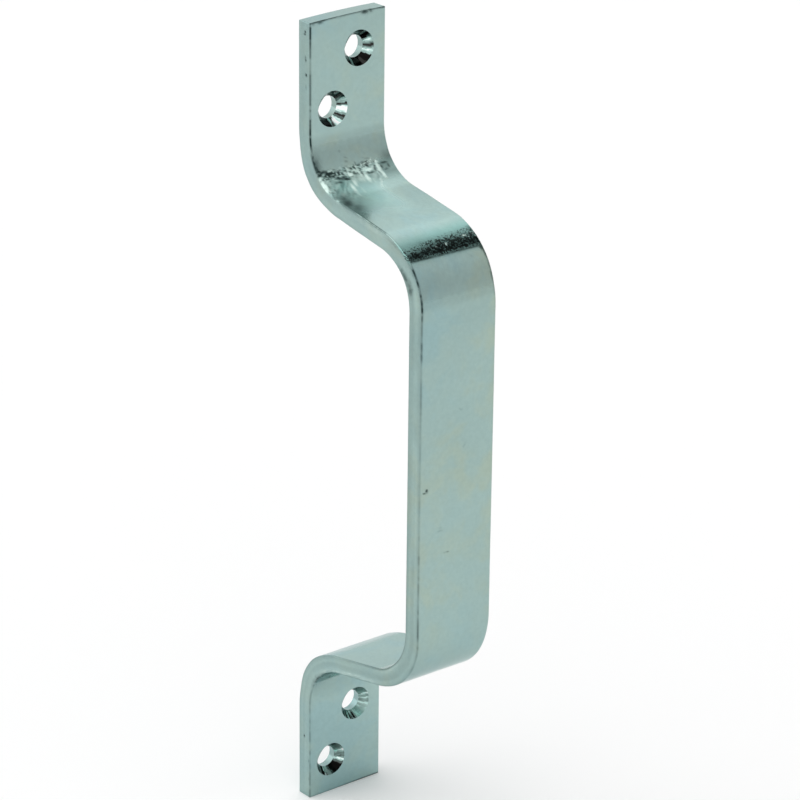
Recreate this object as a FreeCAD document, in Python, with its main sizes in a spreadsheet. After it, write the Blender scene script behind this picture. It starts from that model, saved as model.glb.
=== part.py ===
import FreeCAD, Part
import math
import os
import Sketcher

# A door pull handle, bent in one piece from flat steel bar with slightly rounded edges.
# Millimetres. The door face is the plane y = 0, the handle stands out towards -y and +z is up.
# The origin is on the door face, at the middle of the handle's height and width.

os.makedirs("parts", exist_ok=True)
doc = FreeCAD.newDocument("door_pull_handle")

# Driving dimensions
driving = [
    # The flat bar: its section, and how much its rolled edges and cut ends are rounded
    ("bar_width", 25.0),
    ("bar_thickness", 5.0),
    ("edge_round", 0.6),
    ("end_round", 0.3),
    # The bent shape: overall height, reach from the door, straight length of each plate and
    # the bend beside it, which is also the bend beside the grip
    ("overall_height", 226.0),
    ("projection", 52.0),
    ("plate_length", 30.0),
    ("bend_angle", 79.5),
    ("bend_inside_radius", 15.0),
    # The countersunk screw holes: two in each plate, one each side of the middle of the bar
    ("screw_hole_diameter", 5.5),
    ("countersink_diameter", 9.8),
    ("countersink_angle", 90.0),
    ("first_hole_from_end", 9.9),
    ("hole_spacing", 15.1),
    ("hole_stagger", 8.7),
]
sheet = doc.addObject("Spreadsheet::Sheet", "Spreadsheet")
for row, (alias, value) in enumerate(driving, start=1):
    sheet.set("A%d" % row, alias)
    sheet.set("B%d" % row, str(value))
    sheet.setAlias("B%d" % row, alias)
doc.recompute()
size = {alias: float(sheet.get(alias)) for alias, _ in driving}

# The body: one piece of bar
body = doc.addObject("PartDesign::Body", "pull_handle")
body.Label = "pull_handle"

# How a sketch numbers the points of a line or an arc, and what it calls its own axes
POINTS = ("whole", "start", "end", "centre")
SKETCH_X_AXIS = -1
SKETCH_ORIGIN = (SKETCH_X_AXIS, "start")


def new_sketch(name, role):
    """An empty sketch on one of the body's origin planes, such as YZ_Plane."""
    sketch = body.newObject("Sketcher::SketchObject", name)
    plane = next(item for item in body.Origin.OriginFeatures if item.Role == role)
    sketch.AttachmentSupport = [(plane, "")]
    sketch.MapMode = "FlatFace"
    return sketch


def constrain(sketch, kind, *elements):
    """Adds a constraint, whose elements are lines, arcs, names of points and a size."""
    numbers = [POINTS.index(item) if item in POINTS else item for item in elements]
    return sketch.addConstraint(Sketcher.Constraint(kind, *numbers))


def drive(sketch, name, expression, kind, *elements):
    """Adds a named dimension to a sketch and ties it to the sheet."""
    value = float(sketch.evalExpression(expression))
    if kind == "Angle":
        value = math.radians(value)
    sketch.renameConstraint(constrain(sketch, kind, *elements, value), name)
    sketch.setExpression("Constraints." + name, expression)


def drawn_line(sketch, first, second):
    """A straight line between two (x, y) points of the sketch."""
    line = Part.LineSegment(FreeCAD.Vector(*first), FreeCAD.Vector(*second))
    return sketch.addGeometry(line, False)


def drawn_arc(sketch, centre, radius, low, high):
    """An arc about an (x, y) centre, anticlockwise from angle low to angle high, in radians."""
    circle = Part.Circle(FreeCAD.Vector(*centre), FreeCAD.Vector(0, 0, 1), radius)
    return sketch.addGeometry(Part.ArcOfCircle(circle, low, high), False)


# The middle line of the bar, seen from the side: plate, leg, grip, leg, plate, with a bend
# between each two. Sketch x is the body's y, and sketch y is its z.
middle_radius = size["bend_inside_radius"] + size["bar_thickness"] / 2
turn = math.radians(size["bend_angle"])
plate_depth = -size["bar_thickness"] / 2
grip_depth = size["bar_thickness"] / 2 - size["projection"]
plate_top = size["overall_height"] / 2
plate_foot = plate_top - size["plate_length"]
leg_reach = plate_depth - grip_depth - 2 * middle_radius * (1 - math.cos(turn))
leg_drop = leg_reach / math.tan(turn)
grip_end = plate_foot - 2 * middle_radius * math.sin(turn) - leg_drop

middle_line = new_sketch("middle_line", "YZ_Plane")


def draw_half(side):
    """Plate, bend, leg and bend of the half above (side 1) or below (side -1) the middle."""
    plate_centre = (plate_depth - middle_radius, side * plate_foot)
    grip_centre = (grip_depth + middle_radius, side * grip_end)
    rise = (math.cos(turn) * middle_radius, -side * math.sin(turn) * middle_radius)
    leg_start = (grip_centre[0] - rise[0], grip_centre[1] - rise[1])
    leg_finish = (plate_centre[0] + rise[0], plate_centre[1] + rise[1])
    plate_angles = (-turn, 0.0) if side > 0 else (0.0, turn)
    grip_angles = (math.pi - turn, math.pi) if side > 0 else (math.pi, math.pi + turn)
    plate = drawn_line(middle_line, (plate_depth, side * plate_top), (plate_depth, side * plate_foot))
    plate_bend = drawn_arc(middle_line, plate_centre, middle_radius, *plate_angles)
    leg = drawn_line(middle_line, leg_start, leg_finish)
    grip_bend = drawn_arc(middle_line, grip_centre, middle_radius, *grip_angles)
    near_plate, near_leg = ("end", "start") if side > 0 else ("start", "end")
    constrain(middle_line, "Tangent", plate, "end", plate_bend, near_plate)
    constrain(middle_line, "Tangent", plate_bend, near_leg, leg, "end")
    constrain(middle_line, "Tangent", leg, "start", grip_bend, near_leg)
    return plate, plate_bend, leg, grip_bend, near_plate


upper_plate, upper_plate_bend, upper_leg, upper_grip_bend, upper_end = draw_half(1)
lower_plate, lower_plate_bend, lower_leg, lower_grip_bend, lower_end = draw_half(-1)
grip = drawn_line(middle_line, (grip_depth, grip_end), (grip_depth, -grip_end))
constrain(middle_line, "Tangent", upper_grip_bend, upper_end, grip, "start")
constrain(middle_line, "Tangent", lower_grip_bend, lower_end, grip, "end")
for line in (upper_plate, grip, lower_plate):
    constrain(middle_line, "Vertical", line)
for bend in (upper_grip_bend, lower_plate_bend, lower_grip_bend):
    constrain(middle_line, "Equal", upper_plate_bend, bend)
drive(middle_line, "bend_radius", "Spreadsheet.bend_inside_radius + Spreadsheet.bar_thickness / 2",
      "Radius", upper_plate_bend)
drive(middle_line, "grip_from_door", "Spreadsheet.projection - Spreadsheet.bar_thickness / 2",
      "DistanceX", grip, "start", *SKETCH_ORIGIN)
for half, plate, leg, slant in (("upper", upper_plate, upper_leg, "90 - Spreadsheet.bend_angle"),
                                ("lower", lower_plate, lower_leg, "Spreadsheet.bend_angle - 90")):
    drive(middle_line, half + "_plate_from_door", "Spreadsheet.bar_thickness / 2",
          "DistanceX", plate, "start", *SKETCH_ORIGIN)
    drive(middle_line, half + "_leg_slant", slant, "Angle", leg)
drive(middle_line, "upper_half_height", "Spreadsheet.overall_height / 2",
      "DistanceY", *SKETCH_ORIGIN, upper_plate, "start")
drive(middle_line, "lower_half_height", "Spreadsheet.overall_height / 2",
      "DistanceY", lower_plate, "start", *SKETCH_ORIGIN)
drive(middle_line, "upper_plate_length", "Spreadsheet.plate_length",
      "DistanceY", upper_plate, "end", upper_plate, "start")
drive(middle_line, "lower_plate_length", "Spreadsheet.plate_length",
      "DistanceY", lower_plate, "start", lower_plate, "end")

# The section of the bar, drawn at the top end of the upper plate: a rectangle whose corners
# are rounded as a rolled bar's are. Its back lies on the door face.
half_width = size["bar_width"] / 2
thickness = size["bar_thickness"]
corner = size["edge_round"]
section = new_sketch("bar_section", "XY_Plane")
section.setExpression("AttachmentOffset.Base.z", "Spreadsheet.overall_height / 2")
right_angle = math.pi / 2
back = drawn_line(section, (corner - half_width, 0), (half_width - corner, 0))
right = drawn_line(section, (half_width, -corner), (half_width, corner - thickness))
front = drawn_line(section, (half_width - corner, -thickness), (corner - half_width, -thickness))
left = drawn_line(section, (-half_width, corner - thickness), (-half_width, -corner))
corners = []
for first, second, quarter, across, along in ((back, right, 0, 1, -corner),
                                              (right, front, 3, 1, corner - thickness),
                                              (front, left, 2, -1, corner - thickness),
                                              (left, back, 1, -1, -corner)):
    arc = drawn_arc(section, (across * (half_width - corner), along), corner,
                    quarter * right_angle, (quarter + 1) * right_angle)
    constrain(section, "Tangent", first, "end", arc, "end")
    constrain(section, "Tangent", arc, "start", second, "start")
    corners.append(arc)
for line in (back, front):
    constrain(section, "Horizontal", line)
for line in (left, right):
    constrain(section, "Vertical", line)
for arc in corners[1:]:
    constrain(section, "Equal", corners[0], arc)
constrain(section, "PointOnObject", back, "start", SKETCH_X_AXIS)
drive(section, "half_width", "Spreadsheet.bar_width / 2", "DistanceX", *SKETCH_ORIGIN, right, "start")
drive(section, "width", "Spreadsheet.bar_width", "DistanceX", left, "start", right, "end")
drive(section, "thickness", "Spreadsheet.bar_thickness", "DistanceY", front, "start", *SKETCH_ORIGIN)
drive(section, "edge_round", "Spreadsheet.edge_round", "Radius", corners[0])
doc.recompute()

# The bent bar: the section carried along the middle line
bent_bar = body.newObject("PartDesign::AdditivePipe", "bent_bar")
bent_bar.Profile = section
bent_bar.Spine = (middle_line, [])
doc.recompute()

# The screw holes, drilled and countersunk from the front of the plates. In each plate the hole
# nearer the end is on one side of the middle and the other is as far on the other side.
# Turning the handle half round about y puts the holes of one plate on those of the other.
screw_holes = new_sketch("screw_holes", "XZ_Plane")
screw_holes.setExpression("AttachmentOffset.Base.z", "Spreadsheet.bar_thickness")
side_step = size["hole_stagger"] / 2
first_height = plate_top - size["first_hole_from_end"]
second_height = first_height - size["hole_spacing"]
FROM_MIDDLE = "Spreadsheet.hole_stagger / 2"
TO_FIRST = "Spreadsheet.overall_height / 2 - Spreadsheet.first_hole_from_end"
TO_SECOND = TO_FIRST + " - Spreadsheet.hole_spacing"
for name, across, up, distance in (("upper_first", 1, 1, TO_FIRST),
                                   ("upper_second", -1, 1, TO_SECOND),
                                   ("lower_second", 1, -1, TO_SECOND),
                                   ("lower_first", -1, -1, TO_FIRST)):
    height = first_height if distance == TO_FIRST else second_height
    rim = Part.Circle(FreeCAD.Vector(across * side_step, up * height), FreeCAD.Vector(0, 0, 1),
                      size["screw_hole_diameter"] / 2)
    hole = screw_holes.addGeometry(rim, False)
    to_side = (*SKETCH_ORIGIN, hole, "centre") if across > 0 else (hole, "centre", *SKETCH_ORIGIN)
    to_height = (*SKETCH_ORIGIN, hole, "centre") if up > 0 else (hole, "centre", *SKETCH_ORIGIN)
    drive(screw_holes, name + "_across", FROM_MIDDLE, "DistanceX", *to_side)
    drive(screw_holes, name + "_up", distance, "DistanceY", *to_height)
    drive(screw_holes, name + "_diameter", "Spreadsheet.screw_hole_diameter", "Diameter", hole)
doc.recompute()

countersinks = body.newObject("PartDesign::Hole", "countersunk_holes")
countersinks.Profile = screw_holes
doc.recompute()
countersinks.DepthType = "ThroughAll"
countersinks.HoleCutType = "Countersink"
countersinks.setExpression("Diameter", "Spreadsheet.screw_hole_diameter")
countersinks.setExpression("HoleCutDiameter", "Spreadsheet.countersink_diameter")
countersinks.setExpression("HoleCutCountersinkAngle", "Spreadsheet.countersink_angle")
doc.recompute()

# The cut ends have their burr taken off all round
end_edges = [
    "Edge%d" % number
    for number, edge in enumerate(countersinks.Shape.Edges, start=1)
    if all(abs(abs(vertex.Z) - plate_top) < 1e-6 for vertex in edge.Vertexes)
]
rounded_ends = body.newObject("PartDesign::Fillet", "rounded_ends")
rounded_ends.Base = (countersinks, end_edges)
rounded_ends.setExpression("Radius", "Spreadsheet.end_round")
body.Tip = rounded_ends
body.Placement = FreeCAD.Placement()
doc.recompute()

# The finished handle is one closed solid, and the holes and the end rounding took metal away
failed = [item.Name for item in doc.Objects if {"Invalid", "Error"} & set(item.State)]
if failed:
    raise RuntimeError("failed: " + ", ".join(failed))
handle = body.Shape
if handle.isNull() or not handle.isValid() or len(handle.Solids) != 1:
    raise RuntimeError("the handle is not one valid solid")
stages = [bent_bar.Shape.Volume, countersinks.Shape.Volume, rounded_ends.Shape.Volume]
if not stages[0] > stages[1] > stages[2]:
    raise RuntimeError("a hole or a rounded end cut nothing")
print("volume %.1f mm3, %d faces" % (handle.Volume, len(handle.Faces)))
handle.exportStep(os.path.join("parts", body.Label + ".step"))
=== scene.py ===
# %% [markdown]
# # A door pull handle bent from flat bar
# The real thing is one length of flat steel bar, 25 mm wide and 5 mm thick. It is sheared to length, the
# screw holes are drilled and countersunk while it is flat, it is bent four times in a press, and last of
# all it is dipped in a blue-white zinc bath.
# This lesson goes the same way round: a flat blank is worked out as arrays of points, marked and drilled
# flat, and then bent by one formula. Patterns that follow the steel are stored in flat coordinates, so
# they go round the bends with it.

# %% Load the frame
import math

import bmesh
import bpy
import numpy as np
from mathutils import Matrix, Vector


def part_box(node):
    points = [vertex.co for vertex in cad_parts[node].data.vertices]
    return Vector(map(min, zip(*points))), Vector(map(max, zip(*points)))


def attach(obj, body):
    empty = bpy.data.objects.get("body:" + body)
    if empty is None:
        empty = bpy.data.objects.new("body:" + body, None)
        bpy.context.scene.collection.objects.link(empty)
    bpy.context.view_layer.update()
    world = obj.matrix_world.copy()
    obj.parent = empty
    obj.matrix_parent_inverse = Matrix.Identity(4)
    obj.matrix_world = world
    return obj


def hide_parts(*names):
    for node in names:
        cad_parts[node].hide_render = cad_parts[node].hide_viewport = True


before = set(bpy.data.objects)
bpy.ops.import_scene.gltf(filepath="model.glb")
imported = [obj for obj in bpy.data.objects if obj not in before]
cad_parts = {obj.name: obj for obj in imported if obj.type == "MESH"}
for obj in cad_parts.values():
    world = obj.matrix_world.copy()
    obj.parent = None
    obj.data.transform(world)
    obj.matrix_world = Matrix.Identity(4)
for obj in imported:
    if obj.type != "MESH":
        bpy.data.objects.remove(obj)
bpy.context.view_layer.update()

# %% [markdown]
# ## Sizes
# The overall width, height and reach are read from the frame, so the blank always fits the solid that it
# stands for. The rest are the bar's own sizes: its thickness, the length of the screw plates, how far each
# bend turns and how tight it is. Everything below is in metres, and MM turns a workshop size into metres.
# No handle leaves the press exactly as drawn: on this one the bends sit a millimetre low, the holes were
# drilled two thirds of a millimetre to the left, and the shears cut its upper end a little out of square.

# %% Sizes of the bar
MM = 0.001
low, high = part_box("pull_handle")
WIDTH = high.x - low.x
HEIGHT = high.z - low.z
REACH = high.y - low.y
THICKNESS = 5 * MM
EDGE_ROUND = 0.35 * MM
END_ROUND = 0.2 * MM
PLATE_LENGTH = 30 * MM
BEND_ANGLE = math.radians(79.5)
INSIDE_RADIUS = 15 * MM
BENDS_LOW = 1.06 * MM
END_SKEW = 0.85 * MM

# %% Sizes of the holes
BORE_RADIUS = 3.05 * MM
BACK_RADIUS = 3.45 * MM
SINK_RADIUS = 4.9 * MM
SINK_DEPTH = 2.4 * MM
HOLE_FROM_END = 9.9 * MM
HOLE_SPACING = 15.1 * MM
HOLE_OFFSET = 4.35 * MM
DRILLED_LEFT = 0.65 * MM

# %% [markdown]
# ## The middle line
# Halfway through its thickness the steel neither stretches nor shrinks, so lengths along that line stay
# what they were in the flat blank. The line is nine runs: plate, bend, leg, bend, grip, bend, leg, bend,
# plate. The two leftover lengths, leg and grip, come from the reach and the height.

# %% Runs of the middle line
middle_radius = INSIDE_RADIUS + THICKNESS / 2
bend_length = middle_radius * BEND_ANGLE
leg_reach = REACH - THICKNESS - 2 * middle_radius * (1 - math.cos(BEND_ANGLE))
leg_length = leg_reach / math.sin(BEND_ANGLE)
bend_height = middle_radius * math.sin(BEND_ANGLE)
grip_length = HEIGHT - 2 * (PLATE_LENGTH + 2 * bend_height + leg_length * math.cos(BEND_ANGLE))
half_runs = [PLATE_LENGTH, bend_length, leg_length, bend_length]
run_length = np.array(half_runs + [grip_length] + half_runs[::-1])
run_length[0] += BENDS_LOW
run_length[-1] -= BENDS_LOW
run_turn = np.array([0, 1, 0, -1, 0, -1, 0, 1, 0]) * BEND_ANGLE
run_start = np.concatenate([[0], np.cumsum(run_length)])
run_heading = np.concatenate([[0], np.cumsum(run_turn)])
LENGTH = run_start[-1]
print("blank length mm", round(LENGTH / MM, 2))
print("leg and grip mm", round(leg_length / MM, 2), round(grip_length / MM, 2))

# %% [markdown]
# ## Bending by formula
# A point of the blank has three numbers: how far along it lies, how far across, and how high above the
# face that lies on the door. Bending keeps the across number and turns the other two. Inside a bend the
# way from its start to a point is a chord: it goes in the direction halfway between the two headings, and
# it is shorter than the arc by sin(a)/a, where a is half the turn. A straight run is the same with a = 0.

# %% The bend formula
def chord(length, heading, turn):
    """Step along a run that starts in a heading and turns evenly: its length times sin(a)/a, with a half
    the turn, in the direction heading + a. Heading 0 goes straight down, 90 degrees goes out of the door."""
    reach = length * np.sinc(turn / 2 / np.pi)
    return -reach * np.sin(heading + turn / 2), -reach * np.cos(heading + turn / 2)


step_y, step_z = chord(run_length, run_heading[:-1], run_turn)
run_y = high.y - THICKNESS / 2 + np.concatenate([[0], np.cumsum(step_y)])
run_z = high.z + np.concatenate([[0], np.cumsum(step_z)])


def heading_at(along):
    """Heading of the middle line: it grows evenly through each bend and stays the same between bends."""
    return np.interp(along, run_start, run_heading)


def bend(points):
    """Flat (along, across, height) to upright (x, y, z): walk the chord to the point's place on the middle
    line, then step off at right angles to the heading by the height above the middle."""
    along, across, height = points.T
    run = np.clip(np.searchsorted(run_start, along, side="right") - 1, 0, len(run_length) - 1)
    walked = along - run_start[run]
    step = chord(walked, run_heading[run], run_turn[run] * walked / run_length[run])
    heading = heading_at(along)
    lift = height - THICKNESS / 2
    y = run_y[run] + step[0] - lift * np.cos(heading)
    z = run_z[run] + step[1] + lift * np.sin(heading)
    return np.stack([across, y, z], axis=1)


print("lower end of the middle line", round(run_y[-1] / MM, 3), round(run_z[-1] / MM, 3))

# %% [markdown]
# ## Ruling the blank
# The skin is one grid: lines along the bar, and lines round its section. A hole is a square window in that
# grid whose border is pushed out onto a circle, so the lines must pass through the window's four sides.
# Lines crowd where the steel is marked, since that is where there is something to show.

# %% Stations along the blank
WINDOW_CELLS = 26
first_hole = HOLE_FROM_END
second_hole = HOLE_FROM_END + HOLE_SPACING
hole_along = np.array([first_hole, second_hole, LENGTH - second_hole, LENGTH - first_hole])
hole_across = np.array([1, -1, 1, -1]) * HOLE_OFFSET - DRILLED_LEFT


def crowded(start, stop, coarse, fine, spots=(), reach=1.5 * MM):
    """Stations from start up to stop. The wished step is coarse, and drops to fine by a bell curve of the
    given reach around each spot; adding up 1/step and cutting the total evenly gives the stations."""
    trial = np.linspace(start, stop, 2000)
    near = np.zeros_like(trial)
    for spot in spots:
        near = np.maximum(near, np.exp(-((trial - spot) / reach) ** 2))
    density = 1 / (coarse + (fine - coarse) * near)
    total = np.concatenate([[0], np.cumsum((density[1:] + density[:-1]) / 2 * np.diff(trial))])
    cells = int(math.ceil(total[-1]))
    return np.interp(np.linspace(0, total[-1], cells + 1)[:-1], total, trial)


def window(centre):
    """Even stations across one window, from one side of the square up to the other."""
    return np.linspace(centre - SINK_RADIUS, centre + SINK_RADIUS, WINDOW_CELLS + 1)[:-1]


GRIP_MARKS = np.array([125.8, 136.4, 146.4, 158.8, 165.6]) * MM
bend_end = run_start[2]
grip_bend_start = run_start[3]
upper = [
    crowded(END_ROUND, first_hole - SINK_RADIUS, 0.42 * MM, 0.42 * MM),
    window(first_hole),
    crowded(first_hole + SINK_RADIUS, second_hole - SINK_RADIUS, 0.42 * MM, 0.42 * MM),
    window(second_hole),
    crowded(second_hole + SINK_RADIUS, bend_end, 0.29 * MM, 0.29 * MM),
    crowded(bend_end, grip_bend_start, 0.72 * MM, 0.34 * MM, [bend_end], 4 * MM),
    crowded(grip_bend_start, grip_bend_start + 11.5 * MM, 0.32 * MM, 0.32 * MM),
    crowded(grip_bend_start + 11.5 * MM, run_start[4], 0.62 * MM, 0.62 * MM),
    crowded(run_start[4], run_start[5], 1.0 * MM, 0.36 * MM, GRIP_MARKS),
]
lower = [
    crowded(run_start[5], run_start[6], 0.75 * MM, 0.75 * MM),
    crowded(run_start[6], run_start[7], 0.85 * MM, 0.85 * MM),
    crowded(run_start[7], hole_along[2] - SINK_RADIUS, 0.62 * MM, 0.62 * MM),
    window(hole_along[2]),
    crowded(hole_along[2] + SINK_RADIUS, hole_along[3] - SINK_RADIUS, 0.42 * MM, 0.42 * MM),
    window(hole_along[3]),
    crowded(hole_along[3] + SINK_RADIUS, LENGTH - END_ROUND, 0.42 * MM, 0.42 * MM),
    [LENGTH - END_ROUND],
]
stations = np.concatenate(upper + lower)
print("stations", len(stations))

# %% Columns across the blank
EDGE_GUARD = 0.14 * MM
flat_half = WIDTH / 2 - EDGE_ROUND
near_side = SINK_RADIUS - HOLE_OFFSET
far_side = SINK_RADIUS + HOLE_OFFSET
SHARED_CELLS = 4
half_columns = np.linspace(near_side, far_side, WINDOW_CELLS - SHARED_CELLS + 1)
shared = np.linspace(-near_side, near_side, SHARED_CELLS + 1)[1:-1]
middle_columns = np.concatenate([-half_columns[::-1], shared, half_columns]) - DRILLED_LEFT
left_columns = np.linspace(EDGE_GUARD - flat_half, middle_columns[0], 6)[:-1]
right_columns = np.linspace(middle_columns[-1], flat_half - EDGE_GUARD, 7)[1:]
columns = np.concatenate([[-flat_half], left_columns, middle_columns, right_columns, [flat_half]])
print("columns", len(columns))

# %% Loop round the section
ROUND_CELLS = 4
side_heights = np.concatenate([
    [EDGE_ROUND, EDGE_ROUND + EDGE_GUARD],
    np.linspace(EDGE_ROUND + EDGE_GUARD, THICKNESS - EDGE_ROUND - EDGE_GUARD, 14)[1:-1],
    [THICKNESS - EDGE_ROUND - EDGE_GUARD, THICKNESS - EDGE_ROUND],
])


def section_loop():
    """Closed loop of a rectangle with quarter-round corners, and its outward normals: front face from left
    to right, corner, right side downwards, corner, back from right to left, corner, left side, corner."""
    quarter = np.linspace(0, np.pi / 2, ROUND_CELLS + 1)[1:-1]
    across = []
    height = []
    normal = []
    runs = [
        (columns, THICKNESS + 0 * columns, np.pi / 2),
        (WIDTH / 2 + 0 * side_heights, side_heights[::-1], 0),
        (columns[::-1], 0 * columns, -np.pi / 2),
        (-WIDTH / 2 + 0 * side_heights, side_heights, np.pi),
    ]
    for x, h, angle in runs:
        turn = angle - quarter
        centre_x = x[-1] - EDGE_ROUND * np.cos(angle)
        centre_h = h[-1] - EDGE_ROUND * np.sin(angle)
        across += [x, centre_x + EDGE_ROUND * np.cos(turn)]
        height += [h, centre_h + EDGE_ROUND * np.sin(turn)]
        normal += [np.full(len(x), angle), turn]
    normal = np.concatenate(normal)
    return np.concatenate(across), np.concatenate(height), np.cos(normal), np.sin(normal)


loop_across, loop_height, loop_nx, loop_nh = section_loop()
LOOP = len(loop_across)
back_column = len(columns) + len(side_heights) + 2 * (ROUND_CELLS - 1)
print("points round the section", LOOP)

# %% [markdown]
# ## Noise
# Nothing on a plated bar repeats, so marks, ridges and clouds are all shaped by one smooth noise of the
# flat coordinates. It is seeded, so that the same handle comes out each time.

# %% Smooth noise
def smooth(value, low_edge, high_edge):
    """Ease from 0 at one edge to 1 at the other by 3t^2 - 2t^3."""
    t = np.clip((value - low_edge) / (high_edge - low_edge), 0, 1)
    return t * t * (3 - 2 * t)


def read_list(place, stops):
    """The value at a place, read off straight lines between the (place, value) stops of a list."""
    return np.interp(place, [stop for stop, _ in stops], [value for _, value in stops])


def noise(u, v, seed):
    """A random height from -1 to 1 at each whole-number corner, eased between the four corners round a
    point. The corners repeat after 256 cells, which no part of the bar reaches."""
    table = np.random.default_rng(seed).uniform(-1, 1, (256, 256))
    iu = np.floor(u).astype(int)
    iv = np.floor(v).astype(int)
    fu = u - iu
    fv = v - iv
    fu = fu * fu * (3 - 2 * fu)
    fv = fv * fv * (3 - 2 * fv)
    a = table[iu % 256, iv % 256]
    b = table[(iu + 1) % 256, iv % 256]
    c = table[iu % 256, (iv + 1) % 256]
    d = table[(iu + 1) % 256, (iv + 1) % 256]
    return (a * (1 - fu) + b * fu) * (1 - fv) + (c * (1 - fu) + d * fu) * fv


print("noise sample", np.round(noise(np.array([0.5, 1.5]), np.array([0.2, 0.7]), 3), 3))

# %% [markdown]
# ## Windows that become circles
# Round each hole, a point's distance is measured two ways: as a square does, by the larger of its two
# offsets, and as a circle does. Between the window and an outer square the grid slides from the second
# measure to the first, so the ruling stays straight at the outer square and is round at the hole.

# %% Push windows onto circles
SLIDE_REACH = min(HOLE_SPACING / 2, flat_half - HOLE_OFFSET - DRILLED_LEFT) - 0.05 * MM


def round_windows(along, across, radius):
    """Scale each point about its hole by (1 - w) + w * r / e. Here e is its true distance, c its square
    distance, w runs from 1 at the window to 0 at the outer square, and r runs from the hole's radius at
    the window to the outer square's size."""
    for hole_s, hole_x in zip(hole_along, hole_across):
        ds = along - hole_s
        dx = across - hole_x
        square = np.maximum(np.abs(ds), np.abs(dx))
        true = np.maximum(np.hypot(ds, dx), 1e-9)
        share = np.clip((SLIDE_REACH - square) / (SLIDE_REACH - SINK_RADIUS), 0, 1)
        target = radius + (1 - share) * (SLIDE_REACH - radius)
        scale = (1 - share) + share * target / true
        along = hole_s + ds * scale
        across = hole_x + dx * scale
    return along, across


def grid_faces(rows, cols, closed=False):
    """Quads of a grid numbered row by row; a closed grid joins its last column to its first."""
    r = np.arange(rows - 1)[:, None]
    c = np.arange(cols if closed else cols - 1)[None, :]
    after = (c + 1) % cols
    corners = [r * cols + c, (r + 1) * cols + c, (r + 1) * cols + after, r * cols + after]
    return np.stack([corner.ravel() for corner in corners], axis=1)


# %% Skin of the blank
patches = []


def add_patch(points, faces, reflection_tone=0.0, sink=0.0):
    """Keep one patch: its points in flat coordinates and its faces. Each point has a painted reflection
    tone, and each face says whether it belongs to a countersink, where that tone counts."""
    points = points.reshape(-1, 3)
    patches.append((points, faces, np.zeros(len(points)) + reflection_tone, np.zeros(len(faces)) + sink))


def skin():
    """The section carried along the stations, with the grid slid round the holes on front and back and the
    faces inside the eight windows left out."""
    along = np.repeat(stations[:, None], LOOP, axis=1)
    across = np.repeat(loop_across[None, :], len(stations), axis=0)
    height = np.repeat(loop_height[None, :], len(stations), axis=0)
    front = slice(0, len(columns))
    back = slice(back_column, back_column + len(columns))
    along_f, across_f = round_windows(along[:, front], across[:, front], SINK_RADIUS)
    along_b, across_b = round_windows(along[:, back], across[:, back], BACK_RADIUS)
    middle_s = (stations[1:, None] + stations[:-1, None]) / 2 + 0 * loop_across[None, :]
    next_across = np.roll(loop_across, -1)
    middle_x = 0 * middle_s + (loop_across + next_across)[None, :] / 2
    face_flat = np.zeros(LOOP, bool)
    face_flat[: len(columns) - 1] = True
    face_flat[back_column : back_column + len(columns) - 1] = True
    keep = np.ones(middle_s.shape, bool)
    for hole_s, hole_x in zip(hole_along, hole_across):
        square = np.maximum(np.abs(middle_s - hole_s), np.abs(middle_x - hole_x))
        keep &= ~((square < SINK_RADIUS) & face_flat[None, :])
    along[:, front], across[:, front] = along_f, across_f
    along[:, back], across[:, back] = along_b, across_b
    faces = grid_faces(len(stations), LOOP, closed=True)[keep.ravel()]
    add_patch(np.stack([along, across, height], axis=2), faces)
    print("skin faces", len(faces))


skin()

# %% [markdown]
# ## Screw holes
# Each hole is punched, which leaves it a little wider where the punch breaks out at the back, and then
# sunk so that a flat-headed screw lies flush. A countersink that chatters doesn't cut a true cone: it
# leaves a ring of narrow flats that slant a little round the hole. The flats of middle tone are torn and
# rough. Each flat mirrors its own part of the tent, from black to white, and that reflection is painted
# into its colour as a tone. The flats are cut in the mesh; their painted reflection tones are kept with
# their points.

# %% Flats of the four countersinks and their painted reflections
# Each flat is where it starts, in degrees anticlockwise from the right, and how bright its painted
# reflection is.
SINK_FLATS_AND_REFLECTIONS = [
    [(-180, 0.22), (-150, 0.10), (-128, 0.05), (-118, 0.45), (-106, 0.02), (-72, 0.05), (-58, 0.01),
     (-31, 0.55), (-24, 0.72), (-19, 0.98), (-14, 0.60), (-8, 0.30), (-3, 0.05), (2, 0.02), (6, 0.20),
     (11, 0.50), (16, 0.62), (22, 0.78), (27, 0.58), (34, 0.14), (44, 0.05), (58, 0.12), (68, 0.08),
     (80, 0.14), (92, 0.05), (112, 0.20)],
    [(-180, 0.25), (-148, 0.08), (-138, 0.004), (-88, 0.80), (-72, 0.98), (-58, 0.80), (-48, 0.14),
     (-38, 0.03), (-30, 0.35), (-22, 0.90), (-14, 0.99), (3, 0.20), (8, 0.03), (14, 0.50), (24, 0.62),
     (34, 0.10), (44, 0.03), (58, 0.12), (70, 0.07), (82, 0.03), (98, 0.02), (112, 0.20)],
    [(-180, 0.30), (-156, 0.16), (-136, 0.30), (-128, 0.02), (-119, 0.80), (-110, 0.02), (-102, 0.90),
     (-97, 0.55), (-92, 0.03), (-84, 0.75), (-66, 0.60), (-50, 0.55), (-34, 0.40), (-22, 0.58), (-15, 0.30),
     (-4, 0.36), (1, 0.70), (6, 0.30), (13, 0.40), (19, 0.98), (28, 0.34), (44, 0.28), (60, 0.22),
     (74, 0.10), (96, 0.16), (112, 0.30)],
    [(-180, 0.30), (-152, 0.12), (-141, 0.35), (-126, 0.02), (-111, 0.95), (-103, 0.60), (-94, 0.45),
     (-84, 0.14), (-76, 0.006), (-34, 0.12), (-24, 0.60), (-19, 0.98), (-13, 0.36), (-7, 0.12), (-2, 0.34),
     (3, 0.18), (9, 0.45), (17, 0.92), (26, 0.50), (36, 0.38), (54, 0.26), (66, 0.12), (94, 0.20),
     (112, 0.30)],
]

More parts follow.
